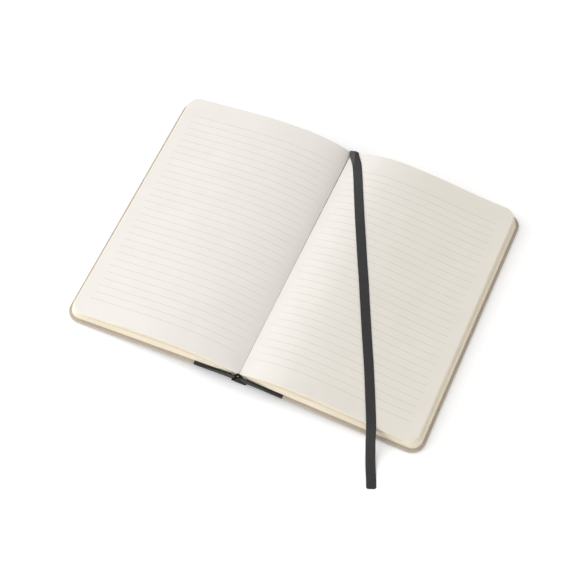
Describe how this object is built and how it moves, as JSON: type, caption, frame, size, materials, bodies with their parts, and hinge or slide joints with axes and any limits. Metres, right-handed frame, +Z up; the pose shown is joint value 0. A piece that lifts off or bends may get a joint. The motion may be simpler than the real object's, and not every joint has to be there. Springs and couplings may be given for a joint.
{
  "type": "hardcover ruled notebook",
  "caption": "Ruled hardcover notebook lying open, quarter bound in dark cloth with plain cloth boards, rounded corners and a ribbon marker; each cover turns up with its leaves to close it.",
  "frame": {"origin": "on the table, under the middle of the spine", "axes": "+X across the spread towards the back cover, +Y along the spine from tail to head, +Z up"},
  "size_m": [0.2748, 0.2461, 0.0236],
  "materials": {
    "board": "grey-brown pressed board",
    "cover_cloth": "natural linen-like weave, matt",
    "spine_cloth": "black bookcloth, matt",
    "end_band": "woven band",
    "lining": "gauze and glue",
    "endpaper": "uncoated",
    "leaves": "uncoated ivory, ruled",
    "ribbon": "woven satin"
  },
  "bodies": {
    "spine": {"spine_cloth": "spine_cloth", "spine_card": "board", "back_lining": "lining", "headband": "end_band", "tailband": "end_band"},
    "front_half": {"front_board": "board", "front_cover_cloth": "cover_cloth", "front_spine_cloth": "spine_cloth", "front_endpaper": "endpaper", "front_pages": "leaves"},
    "back_half": {"back_board": "board", "back_cover_cloth": "cover_cloth", "back_spine_cloth": "spine_cloth", "back_endpaper": "endpaper", "back_pages": "leaves", "ribbon_marker": "ribbon"}
  },
  "joints": [
    {"name": "front_cover_hinge", "type": "hinge", "parent": "spine", "child": "front_half", "pos_m": [-0.011, 0, 0.0134], "axis": [0, 1, 0], "range_deg": [0, 92]},
    {"name": "back_cover_hinge", "type": "hinge", "parent": "spine", "child": "back_half", "pos_m": [0.011, 0, 0.0134], "axis": [0, -1, 0], "range_deg": [0, 92]}
  ]
}
